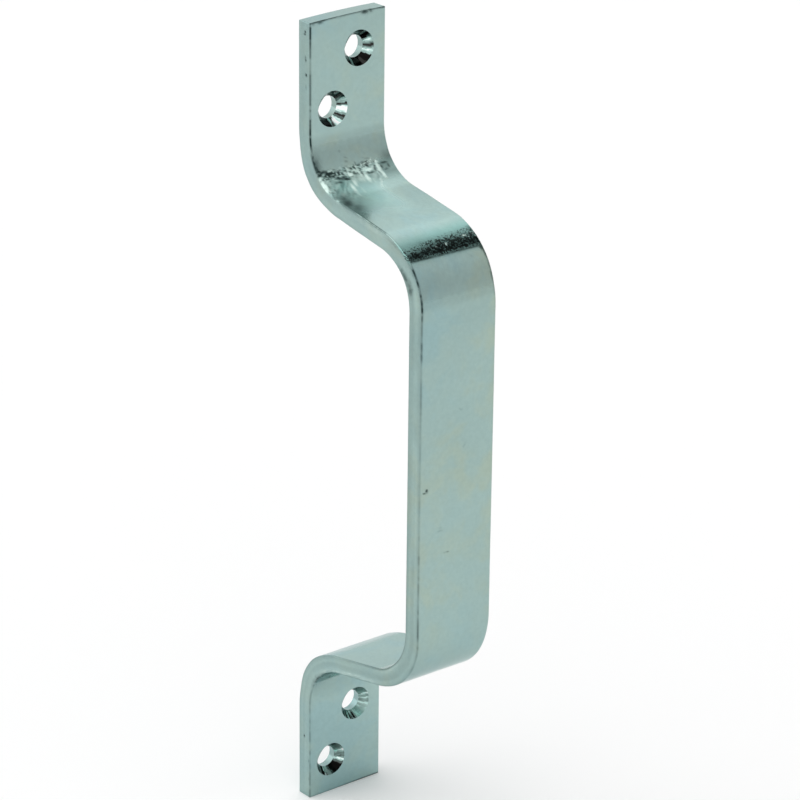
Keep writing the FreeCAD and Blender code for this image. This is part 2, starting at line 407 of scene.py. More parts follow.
# %% Walls of the holes
SINK_RINGS = 12
BORE_RINGS = 6
CHATTER_SLANT = 0.10
CHATTER_CUT = 0.55


def window_ring(number):
    """Angles of the window's border seen from the hole's middle, once round the square. Along the bar
    counts downwards and angles turn upwards, so the along offset changes its sign."""
    tiny = 0.01 * MM
    ds = stations[np.abs(stations - hole_along[number]) < SINK_RADIUS + tiny] - hole_along[number]
    dx = columns[np.abs(columns - hole_across[number]) < SINK_RADIUS + tiny] - hole_across[number]
    right = np.concatenate([dx[:-1], dx[-1] + 0 * ds[:-1], dx[:0:-1], dx[0] + 0 * ds[:0:-1]])
    down = np.concatenate([ds[0] + 0 * dx[:-1], ds[:-1], ds[-1] + 0 * dx[:0:-1], ds[:0:-1]])
    return np.arctan2(-down, right)


def flat_at(angle, starts):
    """Number of the flat on which an angle lies, and that flat's two ends. The ring of flats is closed, so
    the last flat ends where the first one starts, one turn on."""
    ends = np.append(starts[1:], starts[0] + 2 * np.pi)
    turned = (angle - starts[0]) % (2 * np.pi) + starts[0]
    number = np.clip(np.searchsorted(starts, turned, side="right") - 1, 0, len(starts) - 1)
    return number, turned, starts[number], ends[number]


def hole_wall(number):
    """Rings from the sink's rim down the cone, then down the bore to the back. The radius falls evenly on
    the cone and grows a little in the bore. A flat is a chord, so between its ends the cone is drawn in by
    1 - cos(half) / cos(angle from the flat's middle), most of all half way down."""
    angle = window_ring(number)
    share = np.linspace(0, 1, SINK_RINGS + 1)[:, None]
    starts = np.radians([start for start, _ in SINK_FLATS_AND_REFLECTIONS[number]])
    reflection_tones = np.array([reflection_tone for _, reflection_tone in SINK_FLATS_AND_REFLECTIONS[number]])
    flat, turned, low_end, high_end = flat_at(angle[None, :] + CHATTER_SLANT * share, starts)
    chord_cut = 1 - np.cos((high_end - low_end) / 2) / np.cos(turned - (high_end + low_end) / 2)
    cone = SINK_RADIUS + share * (BORE_RADIUS - SINK_RADIUS)
    cone = cone * (1 - CHATTER_CUT * chord_cut * np.sin(np.pi * share))
    streak = noise(9 * turned + 20 * number, share * 2.5 + 0 * turned, 81)
    down = np.linspace(0, 1, BORE_RINGS + 1)[:, None]
    bore = BORE_RADIUS + down * (BACK_RADIUS - BORE_RADIUS) + 0 * angle[None, :]
    cone_height = THICKNESS - share * SINK_DEPTH
    bore_height = (THICKNESS - SINK_DEPTH) * (1 - down)
    # Each flat's painted reflection tone, streaked a little by a noise.
    cone_reflection_tone = reflection_tones[flat] * (1 + 0.25 * streak)
    walls = ((cone, cone_height, cone_reflection_tone, 1), (bore, bore_height, 0 * bore, 0))
    for radius, height, reflection_tone, sink in walls:
        along = hole_along[number] - radius * np.sin(angle)[None, :]
        across = hole_across[number] + radius * np.cos(angle)[None, :]
        points = np.stack([along, across, height + 0 * along], axis=2)
        add_patch(points, grid_faces(len(radius), len(angle), closed=True), reflection_tone.ravel(), sink)


for number in range(len(hole_along)):
    hole_wall(number)
print("hole walls", len(hole_along), "flats", [len(flats) for flats in SINK_FLATS_AND_REFLECTIONS])

# %% [markdown]
# ## Sheared ends
# The guillotine leaves a flat end whose edges the plating rounds a little. The section's loop shrinks as
# the rounding turns in, and the flat that is left is filled by a grid that uses the loop's own points, so
# that the end closes with no seam.

# %% Ends of the blank
END_CELLS = 3


def end_cap(tip, inward):
    """Rounded rim and flat of one end. Ring k has turned by a quarter circle's share: its loop is drawn in
    by r(1 - cos) along its normals and stands r(1 - sin) from the tip."""
    turn = np.linspace(0, np.pi / 2, END_CELLS + 1)
    drawn_in = END_ROUND * (1 - np.cos(turn))
    along = tip + inward * END_ROUND * (1 - np.sin(turn))
    across = loop_across[None, :] - loop_nx[None, :] * drawn_in[:, None]
    height = loop_height[None, :] - loop_nh[None, :] * drawn_in[:, None]
    rim = np.stack([np.repeat(along[:, None], LOOP, axis=1), across, height], axis=2)
    add_patch(rim, grid_faces(END_CELLS + 1, LOOP, closed=True))
    rows = np.concatenate([[END_ROUND], side_heights, [THICKNESS - END_ROUND]])
    grid_h, grid_x = np.meshgrid(rows, columns, indexing="ij")
    flat = np.stack([tip + 0 * grid_x, grid_x, grid_h], axis=2)
    add_patch(flat, grid_faces(len(rows), len(columns)))
    for sign in (-1, 1):
        strip_ends = [sign * flat_half, sign * (WIDTH / 2 - END_ROUND)]
        strip_h, strip_x = np.meshgrid(side_heights, strip_ends, indexing="ij")
        strip = np.stack([tip + 0 * strip_x, strip_x, strip_h], axis=2)
        add_patch(strip, grid_faces(len(side_heights), 2))
        for corner_h, up in ((EDGE_ROUND, -1), (THICKNESS - EDGE_ROUND, 1)):
            angle = np.linspace(0, np.pi / 2, ROUND_CELLS + 1)
            arm = EDGE_ROUND - END_ROUND
            fan_x = np.concatenate([[sign * flat_half], sign * (flat_half + arm * np.cos(angle))])
            fan_h = np.concatenate([[corner_h], corner_h + up * arm * np.sin(angle)])
            fan = np.stack([tip + 0 * fan_x, fan_x, fan_h], axis=1)
            spoke = np.arange(1, ROUND_CELLS + 1)
            add_patch(fan, np.stack([0 * spoke, spoke, spoke + 1], axis=1))


end_cap(0.0, 1)
end_cap(LENGTH, -1)
print("patches", len(patches))

# %% Weld the patches
WELD = 1e-7


def weld(kept):
    """Number points that share a place once: round every place to the weld size and keep the unique ones.
    Where patches meet, a point keeps the larger of its painted reflection tones."""
    points = np.concatenate([p for p, _, _, _ in kept])
    offsets = np.cumsum([0] + [len(p) for p, _, _, _ in kept])[:-1]
    places = np.round(points / WELD).astype(np.int64)
    _, first, number = np.unique(places, axis=0, return_index=True, return_inverse=True)
    number = number.ravel()
    reflection_tone = np.zeros(len(first))
    np.maximum.at(reflection_tone, number, np.concatenate([t for _, _, t, _ in kept]))
    numbered = [(number[f + o], s) for (_, f, _, s), o in zip(kept, offsets)]
    quads = np.concatenate([f for f, _ in numbered if f.shape[1] == 4])
    tris = np.concatenate([f for f, _ in numbered if f.shape[1] == 3])
    sink = np.concatenate([s for f, s in numbered if f.shape[1] == 4] + [np.zeros(len(tris))])
    used = np.zeros(len(first), bool)
    used[quads.ravel()] = True
    used[tris.ravel()] = True
    renumber = np.cumsum(used) - 1
    return points[first][used], renumber[quads], renumber[tris], reflection_tone[used], sink


blank, quads, tris, sink_reflection_tone, in_sink = weld(patches)
print("blank points", len(blank), "quads", len(quads), "triangles", len(tris))
print("triangles in all", 2 * len(quads) + len(tris))

# %% [markdown]
# ## Marks of the work
# Bending leaves its record in the steel. On the inside of the upper plate bend the press tool has dragged
# the surface into short ridges that run the long way, with torn pits between. Their tops carry painted
# highlights, and the pits and a band across the bend carry painted shade, a painted reflection of the
# tent's gap. On the outside of the grip bend the stretched steel has opened into a fine grain, on which the
# gap's reflection is painted as a black band, and left of its middle it has sunk into a slight hollow. The
# edges carry small nicks, and the flats are never quite flat. All of these are soft marks in flat
# coordinates. Some press the blank in, some only change the colour, and most do both.

# %% Marks
along, across, height = blank.T.copy()
front_side = smooth(height, THICKNESS - 1.2 * MM, THICKNESS - 0.1 * MM)
back_side = 1 - smooth(height, 0.1 * MM, 1.2 * MM)
left_side = 1 - smooth(across, -WIDTH / 2, -flat_half)


def mark(u, v, centre, size, turn=0.0, soft=False):
    """Oval mark: exp of minus the fourth power of the oval's own distance, or of minus its square for a
    soft one. The size is half its length and half its width in mm; a turn in degrees swings its long way
    towards +v."""
    du = u / MM - centre[0]
    dv = v / MM - centre[1]
    c = math.cos(math.radians(turn))
    s = math.sin(math.radians(turn))
    far = ((c * du + s * dv) / size[0]) ** 2 + ((c * dv - s * du) / size[1]) ** 2
    return np.exp(-far if soft else -far * far)


def tear(u, v, ragged):
    """Shift the points by a noise of that many mm, so that marks get torn outlines."""
    if ragged:
        coarse = (u / (0.9 * MM), v / (0.6 * MM))
        fine = (u / (0.4 * MM), v / (0.35 * MM))
        u = u + ragged * MM * (noise(*coarse, 91) + 0.5 * noise(*fine, 92))
        v = v + ragged * MM * (noise(*coarse, 93) + 0.5 * noise(*fine, 94))
    return u, v


def marks(u, v, rows, ragged=0.0, soft=False):
    """The strongest of several marks at each point."""
    u, v = tear(u, v, ragged)
    shade = np.zeros_like(u)
    for centre, size, turn, strength in rows:
        shade = np.maximum(shade, strength * mark(u, v, centre, size, turn, soft))
    return shade


def facets(u, v, rows, slope, ragged=0.0):
    """Height of tilted facets: each mark is lifted towards +v by the slope times the way from its middle,
    so that the light side of the tent shows in it."""
    u, v = tear(u, v, ragged)
    lift = np.zeros_like(u)
    for centre, size, turn, strength in rows:
        lift += strength * slope * (v - centre[1] * MM) * mark(u, v, centre, size, turn)
    return lift


# %% Ridges, torn pits, painted highlights and painted shade inside the upper bend
# Places are (along, across) in mm, then half length and half width, turn and strength.
# The ridges tilt facets in the mesh, and their tops are painted light as highlights.
RIDGES_AND_HIGHLIGHTS = [
    ((43.1, 6.9), (0.5, 0.45), 0, 1.0), ((45.3, 6.8), (2.1, 0.65), 4, 1.0),
    ((47.9, 7.1), (1.8, 0.42), 4, 1.0), ((47.0, 5.8), (1.9, 0.30), 8, 0.55),
    ((45.3, 3.6), (1.6, 0.55), 87, 0.95), ((43.3, 3.0), (1.5, 0.16), -62, 0.8),
    ((42.6, 4.9), (1.3, 0.16), -50, 0.7), ((43.9, 1.6), (0.7, 0.16), -30, 0.7),
    ((48.0, 1.8), (1.9, 0.55), 2, 1.0), ((45.9, 0.2), (2.0, 0.38), 6, 0.9),
    ((44.9, -0.6), (1.0, 0.20), 0, 0.5), ((45.6, -2.7), (1.0, 0.65), 60, 1.0),
    ((44.7, -3.9), (0.7, 0.9), 0, 0.45), ((45.3, -5.7), (1.4, 0.28), 68, 0.95),
    ((48.9, -3.0), (1.6, 0.48), 4, 0.85), ((50.6, -4.5), (2.0, 0.5), 0, 1.0),
    ((53.6, -4.9), (2.2, 0.32), 6, 0.5), ((50.3, 5.0), (1.2, 0.28), -20, 0.55),
    ((52.1, 4.1), (1.3, 0.30), -20, 0.35), ((52.5, -2.4), (1.8, 0.35), -4, 0.35),
    ((44.8, 5.1), (0.8, 0.5), 0, 0.5), ((47.6, -12.2), (2.3, 0.75), 0, 1.0),
    ((49.7, -11.8), (1.4, 0.4), -20, 0.6), ((44.6, -6.6), (0.25, 0.9), 0, 0.4),
    ((47.4, -10.4), (1.2, 0.35), -35, 0.35), ((49.2, -9.2), (1.6, 0.25), -35, 0.3),
    ((46.9, -11.3), (0.8, 0.3), -20, 0.5), ((43.0, -10.2), (0.25, 0.45), -30, 0.4),
    ((45.6, 8.9), (0.55, 0.4), 0, 0.35), ((48.5, 0.4), (1.6, 0.25), 4, 0.6),
    ((49.2, 3.3), (1.5, 0.25), -10, 0.35), ((43.8, -5.2), (0.3, 0.5), 0, 0.35),
    ((43.6, -2.9), (0.25, 0.6), 0, 0.35), ((47.6, -0.4), (1.5, 1.1), 10, 0.42),
    ((47.8, -2.4), (1.5, 0.7), 5, 0.45), ((45.1, 3.8), (0.9, 1.9), 0, 0.32),
    ((47.3, 0.9), (1.6, 0.5), 0, 0.50), ((46.4, 1.8), (1.8, 0.8), 0, 0.58),
    ((47.4, 4.4), (1.5, 1.0), -15, 0.35),
]
# Torn pits: each is pressed into the mesh and painted dark, a painted reflection of the tent's gap.
TORN_PITS_AND_SHADE = [
    ((43.0, -11.6), (0.6, 1.0), 20, 0.7), ((44.3, -8.6), (0.5, 0.8), 20, 0.7),
    ((44.9, -7.2), (0.35, 0.5), 30, 0.6), ((46.2, -6.5), (1.6, 0.52), 74, 0.85),
    ((46.8, -4.4), (1.0, 0.45), 80, 1.0), ((47.5, -6.9), (0.9, 0.45), 70, 0.75),
    ((47.4, -8.3), (0.5, 0.9), 0, 0.5), ((45.9, -1.3), (1.2, 0.27), 0, 0.85),
    ((45.8, 1.1), (1.3, 0.22), 0, 0.7), ((46.4, 3.5), (1.6, 0.33), 88, 0.75),
    ((45.7, 5.5), (0.6, 0.4), 0, 0.8), ((44.9, 5.9), (0.8, 0.16), 20, 0.4),
    ((47.8, 3.3), (1.0, 1.0), 0, 0.15), ((48.3, 5.0), (1.3, 0.5), -20, 0.15),
    ((43.9, -4.0), (0.35, 0.9), 0, 0.4), ((43.5, -2.2), (0.3, 0.7), 0, 0.5),
    ((43.5, -6.3), (0.35, 0.7), 0, 0.45), ((42.3, 0.3), (1.1, 0.25), 10, 0.45),
    ((43.9, 3.6), (1.3, 0.18), -75, 0.75), ((42.4, 2.6), (0.2, 1.1), 10, 0.55),
    ((43.2, 4.3), (0.9, 0.18), -58, 0.6), ((41.2, -2.3), (0.35, 0.6), 0, 0.3),
    ((40.1, -2.0), (0.25, 0.7), -20, 0.35), ((37.6, -3.7), (0.3, 0.35), 0, 0.3),
    ((41.6, 4.3), (0.25, 1.3), -20, 0.25), ((44.1, 9.3), (0.4, 1.5), 0, 0.9),
    ((45.2, 8.0), (0.9, 0.3), 0, 0.8), ((45.2, 10.4), (1.0, 0.35), 10, 0.8),
    ((46.4, 9.1), (0.3, 0.8), 0, 0.65), ((44.9, 8.9), (1.9, 1.9), 0, 0.35),
    ((48.9, -5.4), (1.3, 0.3), -30, 0.3), ((50.0, -10.3), (0.5, 0.35), 30, 0.6),
    ((50.9, -11.4), (0.6, 0.4), 30, 0.5), ((51.9, -11.9), (0.5, 0.4), 0, 0.35),
    ((42.3, 12.2), (2.3, 0.7), 0, 0.5), ((44.0, 11.6), (0.7, 0.5), 0, 0.3),
]
# Painted highlights on the ridge tops and light flecks.
painted_highlight = marks(along, across, RIDGES_AND_HIGHLIGHTS, 0.14) * front_side
torn_pits_and_shade = marks(along, across, TORN_PITS_AND_SHADE, 0.20) * front_side
fleck = noise(across / (0.62 * MM), along / (0.50 * MM), 25)
fleck = fleck + 0.6 * noise(across / (0.4 * MM), along / (0.4 * MM), 26)
fleck_zone = smooth(along, 42.2 * MM, 43.4 * MM) * (1 - smooth(along, 45.0 * MM, 48.5 * MM)) * front_side
fleck_zone = fleck_zone * (1 - 0.7 * smooth(across, 7 * MM, 9 * MM))
torn_pits_and_shade = np.maximum(torn_pits_and_shade, 0.85 * smooth(fleck, 0.15, 0.60) * fleck_zone * (1 - painted_highlight))
painted_highlight = np.maximum(painted_highlight, 0.68 * smooth(-fleck, 0.30, 0.75) * fleck_zone)
slant = across + 0.5 * (along - 48 * MM)
strokes = noise(slant / (0.55 * MM), along / (2.2 * MM), 14)
stroke_zone = smooth(along, 44 * MM, 46 * MM) * (1 - smooth(along, 52 * MM, 60 * MM)) * front_side
left_share = 1 - smooth(across, -6 * MM, -3 * MM)
rag = 0.7 * MM * noise(across / (0.9 * MM), along / (1.2 * MM), 23)
rag = rag + 0.4 * MM * noise(across / (0.4 * MM), 0 * along, 24)
# A slanting band across the left of the bend is painted dark: painted shade for the tent gap's reflection.
downhill = along - 0.33 * (across + 12.5 * MM)
painted_shade_band = smooth(downhill, 41.3 * MM, 42.1 * MM) * (1 - smooth(downhill, 43.8 * MM, 44.5 * MM)) * front_side
painted_shade_band = painted_shade_band * (1 - smooth(across, -5.5 * MM, -3.5 * MM))
painted_highlight = painted_highlight * (1 - 0.6 * painted_shade_band)
torn_pits_and_shade = np.maximum(torn_pits_and_shade, 0.95 * smooth(fleck, -0.60, -0.10) * painted_shade_band * (1 - painted_highlight))
left_strokes = stroke_zone * (1 - smooth(across, -7 * MM, -3 * MM)) * smooth(along, 46 * MM, 47.5 * MM)
torn_pits_and_shade = np.maximum(torn_pits_and_shade, 0.35 * smooth(strokes, 0.15, 0.6) * left_strokes)
painted_highlight = np.maximum(painted_highlight, 0.28 * smooth(-strokes, 0.15, 0.6) * left_strokes)
right_share = smooth(across, 1 * MM, 7 * MM)
dull = smooth(along + rag, 42.4 * MM, 43.8 * MM)
dull = dull * (1 - smooth(along + 4.5 * MM * right_share, 49 * MM, 58 * MM))
dull_left = smooth(along, 47 * MM, 51 * MM) * (1 - smooth(along - 0.4 * across, 60 * MM, 70 * MM))
dull_left = dull_left * (1 - smooth(across, -3 * MM, 8 * MM)) * front_side
dull = np.maximum(dull * front_side, dull_left)
bed = 0.4 * dull * (1 - smooth(along, 47 * MM, 50 * MM))
ridge_depth = 0.08 * MM * np.maximum(torn_pits_and_shade, bed) * (1 - painted_highlight)
ridge_depth = ridge_depth - facets(along, across, RIDGES_AND_HIGHLIGHTS, 0.34, 0.14) * front_side
stroke_depth = 0.020 * MM * stroke_zone * (0.3 + left_share) * (1 + strokes)
pull_in = 0.42 * MM * np.clip((-across / MM - 10.2) / 2.3, 0, 1) ** 1.6
pull_zone = smooth(along, 44.7 * MM, 46.2 * MM) * (1 - smooth(along, 48.6 * MM, 51.5 * MM))
pull_in = pull_in * pull_zone * front_side
print("deepest ridge mm", round(float(ridge_depth.max()) / MM, 3))

# %% Grain on the stretched outside
def grain(along, across, seed):
    """Orange peel: noise of about half a millimetre with a coarser one under it."""
    coarse = noise(across / (0.90 * MM), along / (0.60 * MM), seed)
    fine = noise(across / (0.44 * MM), along / (0.38 * MM), seed + 1)
    return (0.6 * coarse + fine) / 1.6


tilted = along + 0.08 * across
grain_zone = smooth(tilted, 78.8 * MM, 81.5 * MM) * (1 - smooth(along, 84.6 * MM, 85.0 * MM)) * front_side
# The black band in the grain is painted: a painted reflection of the tent's gap.
painted_band_reflection = smooth(tilted, 79.3 * MM, 82.0 * MM) + 0.5 * smooth(tilted, 81.4 * MM, 83.0 * MM)
painted_band_reflection = painted_band_reflection * (1 - smooth(along, 84.0 * MM, 85.0 * MM)) * front_side
painted_band_reflection = painted_band_reflection * (0.72 + 0.28 * np.exp(-(((across - 1 * MM) / (6 * MM)) ** 2)))
speckle = grain(along, across, 31)
grain_depth = 0.035 * MM * grain_zone * (1 + speckle) / 2
hollow = 0.20 * MM * smooth(along, 75 * MM, 80 * MM) * (1 - smooth(along, 80.3 * MM, 84.6 * MM))
hollow = hollow * (1 - smooth(across, -11 * MM, 1 * MM)) * front_side
wave = noise(across / (13 * MM) + 3, along / (19 * MM), 41)
wave = wave + 0.5 * noise(across / (6 * MM), along / (8 * MM), 42)
wave_depth = 0.018 * MM * (1.5 + wave) / 3
pressed = smooth(along, 37 * MM, 42 * MM) * (1 - smooth(along, 56 * MM, 62 * MM))
wave_depth = wave_depth + 0.08 * MM * pressed
peel_depth = 0.012 * MM * (1 + grain(along, across, 51)) / 2
print("grain mm", round(float(grain_depth.max()) / MM, 3))

# %% Nicks
FACE_NICKS = [
    ((146.3, -10.0), (0.48, 0.42), 0, 1.0), ((146.7, -10.7), (0.20, 0.8), 12, 0.85),
    ((165.6, -2.6), (0.22, 0.5), 0, 0.45), ((165.6, -3.5), (0.15, 0.7), 0, 0.2),
    ((158.9, -5.4), (0.2, 0.9), 0, 0.22), ((158.1, -5.4), (0.15, 0.7), 0, 0.15),
    ((136.2, 2.8), (0.2, 0.6), 25, 0.22), ((136.7, 2.3), (0.4, 0.4), 0, 0.15),
    ((125.9, 1.1), (0.2, 0.9), -20, 0.2), ((87.0, 7.1), (0.18, 0.5), 15, 0.35),
]
END_NICKS = [
    ((0.45, -9.2), (0.30, 0.9), 0, 0.9), ((0.75, -11.5), (0.25, 0.5), 0, 0.5),
    ((0.35, 5.6), (0.50, 1.3), 0, 0.9), ((0.25, 7.6), (0.40, 0.7), 0, 0.8),
    ((0.2, -3.0), (0.15, 0.7), 0, 0.3),
]
SIDE_NICKS = [
    ((3.4, 2.9), (0.50, 0.36), 0, 1.0), ((4.1, 2.7), (0.36, 0.42), 0, 0.95),
    ((10.4, 3.0), (0.5, 0.28), 0, 0.6), ((11.1, 3.1), (0.42, 0.34), 0, 0.8),
    ((15.0, 3.3), (0.46, 0.46), -30, 1.0), ((18.3, 3.2), (0.8, 0.3), 0, 0.3),
    ((266.3, 2.5), (0.5, 0.36), -20, 0.75), ((273.5, 4.6), (0.5, 0.3), 0, 0.5),
    ((279.0, 4.7), (0.6, 0.3), 0, 0.4),
]
face_nick = marks(along, across, FACE_NICKS + END_NICKS, 0.08) * front_side
side_nick = marks(along, height, SIDE_NICKS, 0.08) * left_side
print("nicks", len(FACE_NICKS), len(END_NICKS), len(SIDE_NICKS))

# %% [markdown]
# ## Press, swell and narrow
# The marks lower the front face. Where the steel is bent it also flows: it gets narrower on the stretched
# side, and on this bar the back of the grip and the outer side of the plates' bends are a little fuller
# than the stock. The swelling is greatest on the back and fades out towards the front face.

# %% Press the marks into the blank
# Places along are in mm, and so is how far the back stands out there.
NICK_DEPTH = 0.18 * MM
SIDE_NICK_DEPTH = 0.12 * MM
NARROWER = 0.020
SWELL = [
    (0, 0), (33, 0), (37, 0.50), (40.5, 0.90), (45, 0.85), (51, 0.25), (56, 0), (88, 0), (97, 0.32),
    (203, 0.32), (212, 0), (236, 0), (242, 0.50), (248, 0.45), (253, 0), (285, 0),
]
flat_depth = ridge_depth + stroke_depth + pull_in + grain_depth + hollow + wave_depth
press_front = np.maximum(flat_depth + NICK_DEPTH * face_nick, 0) * front_side
press_back = (wave_depth + peel_depth) * back_side
height = height - press_front + press_back
swell = MM * read_list(along / MM, SWELL)
height = height - swell * (1 - height / THICKNESS)
print("fullest swelling mm", round(float(swell.max()) / MM, 2))


def in_bends(along):
    """How hard the steel is bent: 1 inside a bend, 0 between bends, eased over its first millimetres."""
    total = np.zeros_like(along)
    for number in (1, 3, 5, 7):
        start = run_start[number]
        stop = run_start[number + 1]
        rise = smooth(along, start - 1.5 * MM, start + 5 * MM)
        total += rise * (1 - smooth(along, stop - 5 * MM, stop + 1.5 * MM))
    return total


def outer_share(along, height):
    """How far out in its bend a point lies, from 0 on the inside to 1 on the outside. The grip's bends
    have the front face outside, the plates' bends have the back there."""
    front_outside = np.interp(along, [run_start[2], run_start[3], run_start[6], run_start[7]], [0, 1, 1, 0])
    return np.clip(np.where(front_outside > 0.5, height, THICKNESS - height) / THICKNESS, 0, 1)


narrowing = NARROWER * in_bends(along) * outer_share(along, height)
side_line = 0.01 * MM * (1 + noise(height / (0.7 * MM), along / (25 * MM), 61)) / 2
side_wave = 0.02 * MM * (1 + noise(along / (14 * MM), 0 * along + 0.5, 62)) / 2
to_side = smooth(np.abs(across), flat_half - 0.6 * MM, WIDTH / 2)
draw_in = (side_line + side_wave) * to_side + SIDE_NICK_DEPTH * side_nick
skew = END_SKEW * ((WIDTH / 2 - across) / WIDTH) ** 2 * (1 - smooth(along, 0, 4.5 * MM))
across = across * (1 - narrowing) - np.sign(across) * draw_in
marked = np.stack([along + skew, across, height], axis=1)
at_edge = np.abs(blank[:, 1]) > 0.999 * WIDTH / 2
print("narrowest width mm", round(2 * float(np.abs(across[at_edge]).min()) / MM, 2))

# %% Bend the blank and make the mesh
placed = bend(marked)


def make_mesh(name, points, quads, tris):
    """A mesh object at the origin from its points and faces."""
    mesh = bpy.data.meshes.new(name)
    mesh.from_pydata(points.tolist(), [], quads.tolist() + tris.tolist())
    mesh.update()
    piece = bpy.data.objects.new(name, mesh)
    bpy.context.scene.collection.objects.link(piece)
    return piece


handle = make_mesh("bent_bar", placed, quads, tris)
shell = bmesh.new()
shell.from_mesh(handle.data)
bmesh.ops.recalc_face_normals(shell, faces=shell.faces)
open_edges = sum(1 for edge in shell.edges if not edge.is_manifold)
volume = shell.calc_volume(signed=True)
if volume < 0:
    bmesh.ops.reverse_faces(shell, faces=shell.faces)
shell.to_mesh(handle.data)
shell.free()
handle.data.shade_smooth()
handle.data.set_sharp_from_angle(angle=math.radians(28))
print("open edges", open_edges, "volume mm3", round(abs(volume) / MM**3, 1))

# %% [markdown]
# ## What the finish needs to know
# The zinc follows the steel, so the material reads the flat coordinates of each point from an attribute.
# The others say how dark a spot is, with painted shade in it, where highlights are painted, where the grain
# and the black band painted on it as a reflection lie, where the surface is dull, how thick the film is and
# what painted light and shade it carries, whether it is bluish, yellowish or teal there, and how bright the
# painted reflection on a flat of a countersink is.

# %% Painted dark reflections along the edges
# Along each rounded edge a thin dark line is painted: a painted reflection of the dark that the edge
# mirrors. Places along are in mm. The back's left edge has a painted line as well, and the end lines are
# read across the bar.
EDGE_PLACE = (12.38 * MM, 4.88 * MM)
EDGE_REACH = 0.32 * MM
END_REACH = 0.26 * MM
LEFT_LINE = [
    (0, 0.9), (5, 0.9), (8, 0.6), (14, 0.55), (24, 0.65), (28, 0.9), (36, 1.0), (43, 1.0), (44.5, 0.15),
    (51, 0.1), (53, 0.6), (63, 0.65), (70, 0.6), (75, 0.5), (78, 0.1), (84, 0.0), (85.5, 0.95), (96, 0.95),
    (99, 0.5), (109, 0.55), (111, 0.15), (125, 0.35), (130, 0.1), (157, 0.15), (165, 0.35), (178, 0.35),
    (188, 0.55), (194, 0.4), (200, 0.1), (238, 0.2), (243, 0.8), (250, 0.3), (262, 0.35), (285, 0.45),
]
BACK_LEFT_LINE = [(0, 0.3), (40, 0.2), (150, 0.1), (180, 0.45), (215, 0.45), (235, 0.2), (285, 0.3)]
RIGHT_LINE = [
    (0, 0.1), (36, 0.0), (40, 0.5), (43, 0.75), (45.5, 0.1), (84, 0.2), (86, 0.95), (92, 0.75), (97, 0.3),
    (102, 0.0), (285, 0.0),
]
TOP_LINE = [
    (-12.5, 0.6), (-11, 0.75), (-8, 0.9), (-7, 0.45), (-3, 0.4), (3, 0.3), (5, 0.6), (8, 0.6), (9, 0.3),
    (11, 0.6), (12.5, 0.9),
]
BOTTOM_LINE = [(-12.5, 0.2), (-5, 0.3), (1, 0.6), (6, 0.9), (12.5, 0.8)]


edge_distance = np.hypot(np.abs(blank[:, 1]) - EDGE_PLACE[0], blank[:, 2] - EDGE_PLACE[1])
end_along = np.minimum(blank[:, 0], LENGTH - blank[:, 0])
end_distance = np.hypot(end_along - 0.08 * MM, blank[:, 2] - 4.92 * MM)
edge_line = np.exp(-((edge_distance / EDGE_REACH) ** 4))
end_line = np.exp(-((end_distance / END_REACH) ** 4))
broken = noise(blank[:, 0] / (2.2 * MM), 0 * along, 71)
broken = broken + 0.8 * noise(blank[:, 0] / (0.9 * MM), 0 * along, 74)
broken = smooth(broken, -0.6, 0.4)
left_strength = read_list(blank[:, 0] / MM, LEFT_LINE)
right_strength = read_list(blank[:, 0] / MM, RIGHT_LINE)
side_strength = np.where(blank[:, 1] < 0, left_strength, right_strength)
top_strength = read_list(blank[:, 1] / MM, TOP_LINE)
bottom_strength = read_list(blank[:, 1] / MM, BOTTOM_LINE)
end_strength = np.where(blank[:, 0] < LENGTH / 2, top_strength, bottom_strength)
# The edge and end lines are painted shade: dark reflections painted into the colour.
edge_shade = edge_line * side_strength * (0.45 + 0.60 * broken)
back_distance = np.hypot(blank[:, 1] + EDGE_PLACE[0], blank[:, 2] - 0.12 * MM)
back_line = np.exp(-((back_distance / EDGE_REACH) ** 4)) * read_list(blank[:, 0] / MM, BACK_LEFT_LINE)
edge_shade = np.maximum(edge_shade, back_line)
end_shade = end_line * end_strength
print("edge line", round(float(edge_shade.max()), 2), "end line", round(float(end_shade.max()), 2))

# %% Soft stains, painted dark reflections and painted highlights
# Soft dark patches on the front are painted dark reflections.
DARK_REFLECTIONS = [
    ((57.3, -11.0), (3.6, 2.3), -35, 1.0), ((54.6, -10.3), (2.6, 1.5), -32, 0.85),
    ((60.5, -10.3), (3.0, 1.9), -40, 0.75), ((53.4, -11.8), (1.8, 1.0), -30, 0.5),
    ((57.5, -6.8), (3.4, 1.8), -35, 0.25), ((62.0, -11.8), (3.4, 1.6), 0, 0.5),
    ((58.5, -8.0), (3.0, 1.4), -35, 0.35), ((64.5, -11.8), (4.0, 1.0), 0, 0.15),
    ((40.4, -12.0), (2.8, 1.4), 0, 0.75), ((42.6, 11.2), (2.4, 2.6), 0, 0.55),
]
SIDE_STAINS = [
    ((90.0, 1.5), (2.6, 1.0), 0, 1.0), ((86.6, 1.0), (3.6, 0.65), 3, 0.85),
    ((88.3, 1.2), (2.6, 0.8), 3, 0.9), ((78.5, 3.9), (4.0, 0.40), 6, 0.30),
    ((86.0, 4.5), (4.5, 0.35), 0, 0.40), ((245.0, 4.5), (4.5, 0.5), 0, 0.4),
]
# Light streaks along the side: painted highlights.
SIDE_HIGHLIGHTS = [
    ((218.0, 4.3), (4.0, 0.30), 0, 0.30), ((224.5, 4.1), (4.5, 0.30), 0, 0.40),
    ((232.0, 4.4), (4.0, 0.26), 0, 0.35), ((238.5, 4.2), (3.0, 0.26), 0, 0.30),
    ((206.0, 0.8), (6.0, 0.30), 0, 0.20), ((70.0, 3.6), (9.0, 0.55), 0, 0.16),
]
